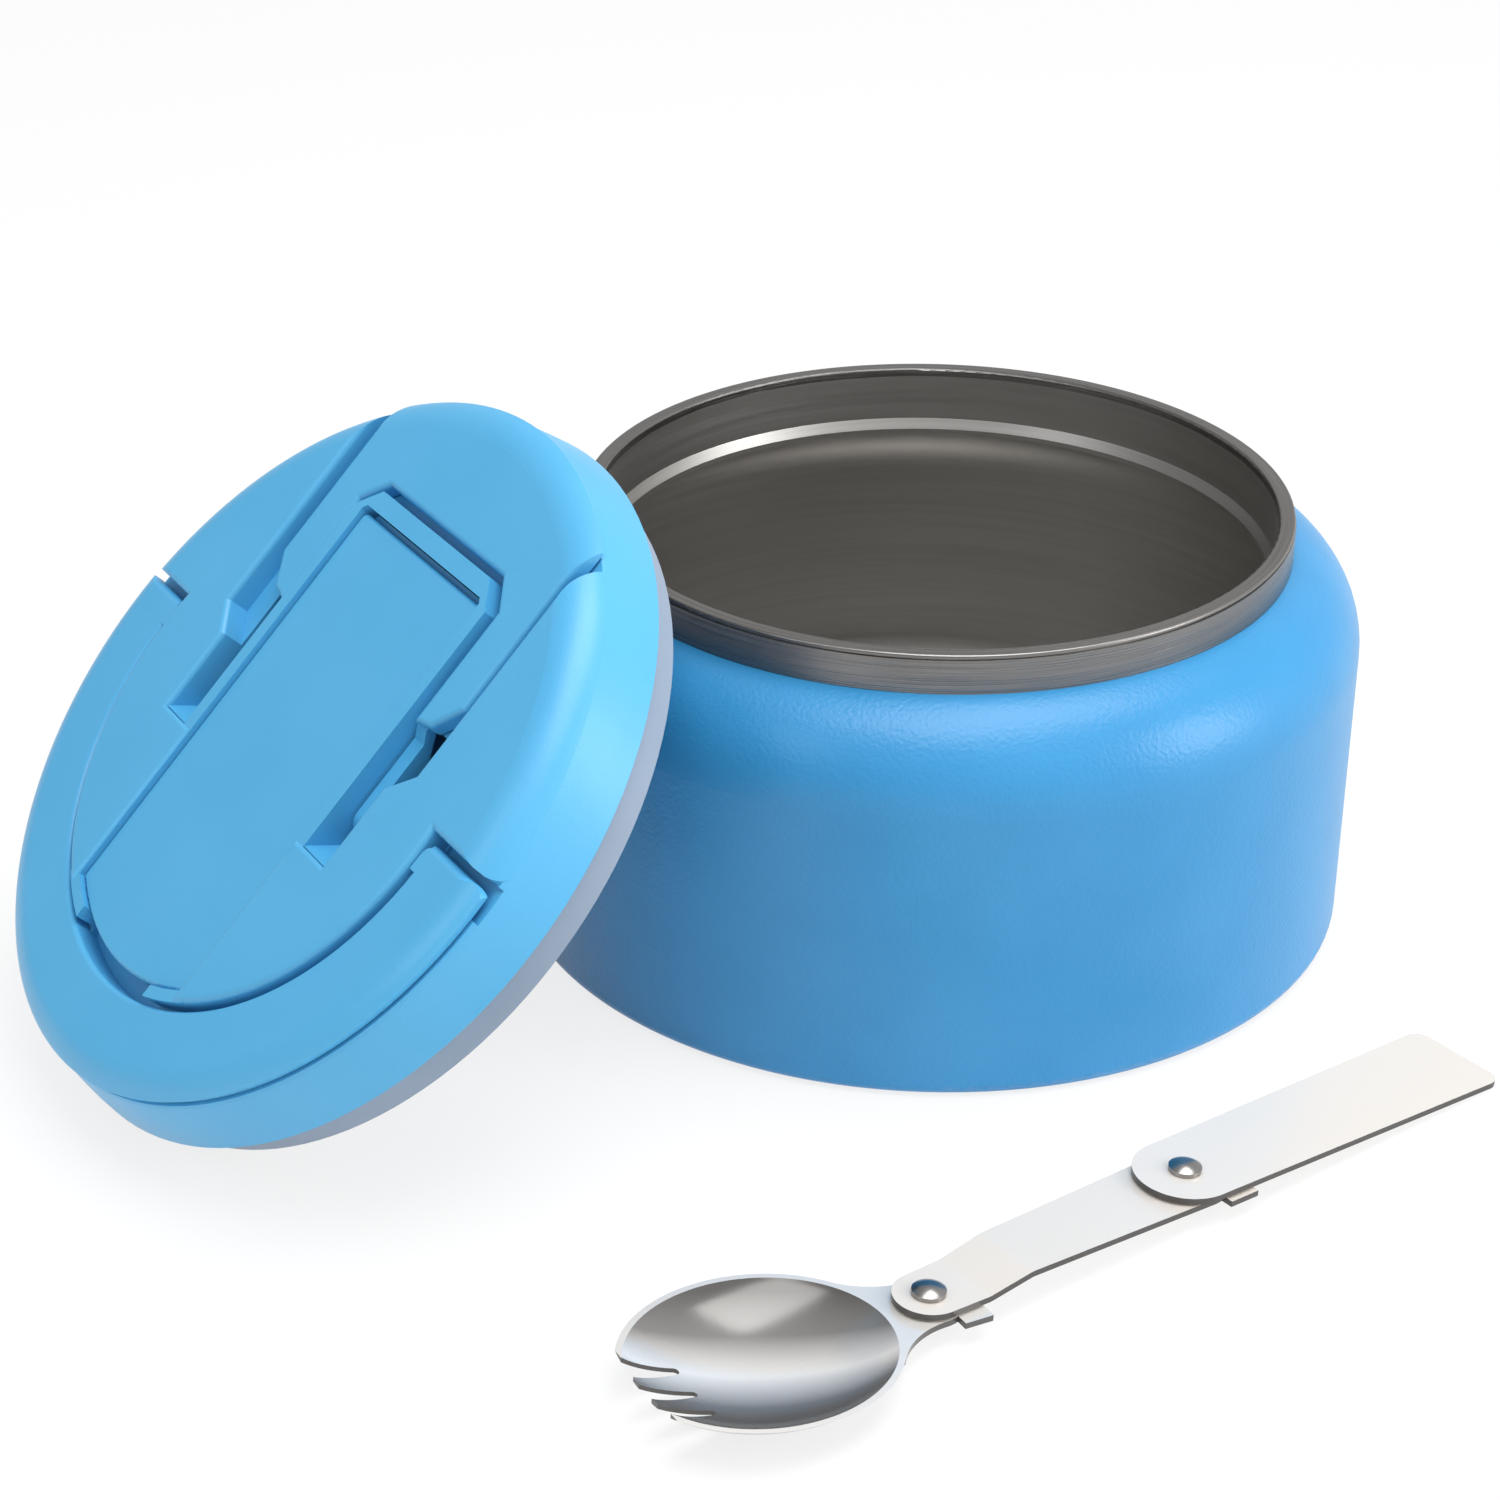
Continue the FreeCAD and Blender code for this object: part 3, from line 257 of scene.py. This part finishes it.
def satin_liner():
    """Smoother steel inside the jar."""
    finish = Finish("satin_steel_liner", srgb(172, 170, 167), 0.42, 1.0)
    streaks = finish.group(STREAKS, Lines=900.0, Run=1.0)
    finish.shade(streaks.outputs["Mask"], srgb(168, 166, 163), srgb(176, 174, 171))
    finish.gloss(streaks.outputs["Mask"], 0.4, 0.44)
    finish.bump(streaks.outputs["Height"], 0.000003)
    return finish.material


def pale_moulding():
    """Cool grey plastic of the plug and its ring."""
    finish = Finish("pale_moulded_plug", srgb(138, 154, 174), 0.42)
    peel = finish.group(PEEL, Scale=2200.0, Swell=40.0)
    finish.shade(peel.outputs["Mask"], srgb(134, 151, 171), srgb(142, 157, 177))
    finish.gloss(peel.outputs["Mask"], 0.38, 0.46)
    finish.bump(peel.outputs["Height"], 0.00002)
    return finish.material


def soft_seal():
    """Pale silicone."""
    finish = Finish("silicone_seal", srgb(190, 201, 214), 0.5)
    peel = finish.group(PEEL, Scale=1500.0, Swell=80.0)
    finish.shade(peel.outputs["Mask"], srgb(185, 197, 211), srgb(195, 205, 217))
    finish.bump(peel.outputs["Height"], 0.00002)
    return finish.material


def insulating_foam():
    """Cream foam with open cells, hidden in the plug."""
    finish = Finish("insulating_foam", srgb(236, 234, 228), 0.9)
    peel = finish.group(PEEL, Scale=700.0, Swell=200.0)
    finish.shade(peel.outputs["Mask"], srgb(230, 228, 221), srgb(241, 240, 235))
    finish.bump(peel.outputs["Height"], 0.0004)
    return finish.material


def plain_steel(name, tone, roughness, metallic):
    """Steel whose gloss swells slowly."""
    finish = Finish(name, srgb(*tone), roughness, metallic)
    swell = finish.group(PEEL, Swell=40.0)
    finish.gloss(swell.outputs["Mask"], roughness * 0.9, roughness * 1.1)
    return finish


def pin_steel():
    return plain_steel("pin_steel", (150, 148, 146), 0.25, 1.0).material


# The sheets' pale face, and the painted shade given to their upright edges
SHEET_FACE, SHEET_PAINTED_SHADE = (222, 216, 209), (78, 76, 74)


def satin_sheet():
    """Pale flat sheets with painted shade on their upright edges."""
    finish = plain_steel("satin_sheet_steel", SHEET_FACE, 0.3, 0.15)
    edge = finish.group(EDGE_SHADE_MASK, vector=finish.facing)
    mix = add_node(finish.tree, "ShaderNodeMix", data_type="RGBA")
    mix.inputs["A"].default_value = srgb(*SHEET_FACE)
    mix.inputs["B"].default_value = srgb(*SHEET_PAINTED_SHADE)
    link_nodes(finish.tree, edge.outputs["Mask"], mix.inputs["Factor"])
    link_nodes(finish.tree, mix.outputs["Result"], finish.shader.inputs["Base Color"])
    return finish.material


# Painted reflection and shade on the dish, by the lean of its surface: 0 faces the front, 0.5 faces up, 1
# faces the back
BOWL_PAINTED_REFLECTION = ((0.25, (96, 94, 92)), (0.4, (132, 130, 128)), (0.51, (240, 237, 233)),
              (0.61, (128, 126, 124)), (0.7, (66, 65, 64)))


def bowl_with_painted_reflection():
    """Steel dish with painted reflection: a painted highlight on its level middle, painted shade up its
    walls.
    """
    finish = plain_steel("bowl_steel_painted_reflection", (228, 226, 223), 0.18, 0.35)
    parts = add_node(finish.tree, "ShaderNodeSeparateXYZ")
    link_nodes(finish.tree, finish.facing, parts.inputs[0])
    ramp = add_node(finish.tree, "ShaderNodeValToRGB")
    lean = add_node(finish.tree, "ShaderNodeMapRange")
    lean.inputs["From Min"].default_value = -1.0
    link_nodes(finish.tree, parts.outputs["Y"], lean.inputs["Value"])
    link_nodes(finish.tree, lean.outputs[0], ramp.inputs["Fac"])
    stops = ramp.color_ramp.elements
    for stop, (position, tone) in zip(stops, (BOWL_PAINTED_REFLECTION[0], BOWL_PAINTED_REFLECTION[-1])):
        stop.position, stop.color = position, srgb(*tone)
    for position, tone in BOWL_PAINTED_REFLECTION[1:-1]:
        stops.new(position).color = srgb(*tone)
    # The ramp's painted reflection and shade become the dish's base colour
    link_nodes(finish.tree, ramp.outputs["Color"], finish.shader.inputs["Base Color"])
    return finish.material


def sealing_glass():
    """Green-grey glass bead under the base."""
    finish = Finish("sealing_glass", srgb(120, 140, 120), 0.15)
    smudges = finish.group(SMUDGES, Scale=200.0)
    finish.gloss(smudges.outputs["Mask"], 0.1, 0.25)
    return finish.material


COAT = powder_coat()
BLUE = moulded_blue()
BAND = brushed_band()
LINER = satin_liner()
PALE = pale_moulding()
SEAL = soft_seal()
FOAM = insulating_foam()
BOWL_STEEL = bowl_with_painted_reflection()
SHEET_STEEL = satin_sheet()
PIN_STEEL = pin_steel()
GLASS = sealing_glass()

NODE_FINISHES = {
    COAT: ("outer_shell", "base_plate"),
    BAND: ("neck_band",),
    LINER: ("inner_vessel",),
    BLUE: ("lid_shell", "compartment_cover", "vent_flap", "carry_handle", "spork_tray"),
    PALE: ("inner_plug", "plug_cover"),
    SEAL: ("lid_seal", "vent_valve"),
    FOAM: ("plug_foam",),
    BOWL_STEEL: ("spork_bowl",),
    SHEET_STEEL: ("spork_link", "spork_handle"),
    PIN_STEEL: ("bowl_rivet", "handle_rivet", "bowl_washer", "link_washer", "cover_pins", "flap_pins",
                "handle_pins", "getter"),
    GLASS: ("vacuum_seal",),
}


def dress_nodes():
    for material, names in NODE_FINISHES.items():
        for name in names:
            slots = nodes[name].data.materials
            slots.clear()
            slots.append(material)


# The floor's size, its drop below the part, and how far it is whitened where the camera sees it
FLOOR_HALF = 3.0
FLOOR_DROP = 0.0002
FLOOR_WHITENING = 0.8
FLOOR_TONE = 0.9
# Strength of the surrounding light from the far left and from the far right
SKY_LEFT, SKY_RIGHT = 0.36, 0.82


def seen_ray(tree):
    """One for rays that show the background: straight from the camera, mirrored or passed through."""
    path = add_node(tree, "ShaderNodeLightPath")
    seen = math_node(tree, "MAXIMUM", path.outputs["Is Camera Ray"], path.outputs["Is Glossy Ray"])
    return math_node(tree, "MAXIMUM", seen, path.outputs["Is Transmission Ray"])


def add_floor():
    """Pale floor that keeps the part's shadows."""
    mesh = bpy.data.meshes.new("floor")
    form = bmesh.new()
    bmesh.ops.create_grid(form, x_segments=1, y_segments=1, size=FLOOR_HALF)
    bmesh.ops.translate(form, verts=form.verts, vec=(0.0, 0.0, -FLOOR_DROP))
    form.to_mesh(mesh)
    form.free()
    floor = bpy.data.objects.new("floor", mesh)
    bpy.context.scene.collection.objects.link(floor)
    material = bpy.data.materials.new("pale_floor")
    material.use_nodes = True
    tree = material.node_tree
    shader = tree.nodes["Principled BSDF"]
    shader.inputs["Base Color"].default_value = (FLOOR_TONE, FLOOR_TONE, FLOOR_TONE, 1.0)
    shader.inputs["Roughness"].default_value = 0.9
    shader.inputs["Specular IOR Level"].default_value = 0.0
    white = add_node(tree, "ShaderNodeEmission")
    blend = add_node(tree, "ShaderNodeMixShader")
    link_nodes(tree, math_node(tree, "MULTIPLY", seen_ray(tree), FLOOR_WHITENING), blend.inputs[0])
    link_nodes(tree, shader.outputs[0], blend.inputs[1])
    link_nodes(tree, white.outputs[0], blend.inputs[2])
    link_nodes(tree, blend.outputs[0], tree.nodes["Material Output"].inputs["Surface"])
    floor.data.materials.append(material)


def add_softbox(name, place, aim, size, power):
    """White lamp of this width and height in metres, turned toward its aim."""
    data = bpy.data.lights.new(name, "AREA")
    data.shape = "RECTANGLE"
    data.size, data.size_y = size
    data.energy = power
    lamp = bpy.data.objects.new(name, data)
    toward = Vector(aim) - Vector(place)
    lamp.matrix_world = Matrix.Translation(place) @ toward.to_track_quat("-Z", "Y").to_matrix().to_4x4()
    bpy.context.scene.collection.objects.link(lamp)


def add_world():
    """White surroundings that light the part less from the left than from the right."""
    world = bpy.data.worlds.new("studio")
    world.use_nodes = True
    tree = world.node_tree
    lit = tree.nodes["Background"]
    lit.inputs["Color"].default_value = (1.0, 1.0, 1.0, 1.0)
    toward = add_node(tree, "ShaderNodeTexCoord")
    parts = add_node(tree, "ShaderNodeSeparateXYZ")
    link_nodes(tree, toward.outputs["Generated"], parts.inputs[0])
    side = add_node(tree, "ShaderNodeMapRange", interpolation_type="SMOOTHSTEP")
    side.inputs["From Min"].default_value = -1.0
    side.inputs["To Min"].default_value = SKY_LEFT
    side.inputs["To Max"].default_value = SKY_RIGHT
    link_nodes(tree, parts.outputs["X"], side.inputs["Value"])
    path = add_node(tree, "ShaderNodeLightPath")
    link_nodes(tree, math_node(tree, "MAXIMUM", side.outputs[0], path.outputs["Is Camera Ray"]),
               lit.inputs["Strength"])
    bpy.context.scene.world = world


def light_studio():
    add_softbox("overhead", (0.12, -0.1, 0.9), (0.0, 0.0, 0.05), (0.8, 0.5), 6.2)
    add_softbox("key", (0.85, -0.3, 0.4), (0.0, 0.0, 0.05), (0.35, 0.5), 3.2)
    add_softbox("left_fill", (-0.7, -0.6, 0.7), (-0.1, -0.05, 0.04), (0.4, 0.5), 1.2)


dress_nodes()
add_floor()
add_world()
light_studio()
add_camera()
bpy.context.scene.view_settings.view_transform = "Standard"
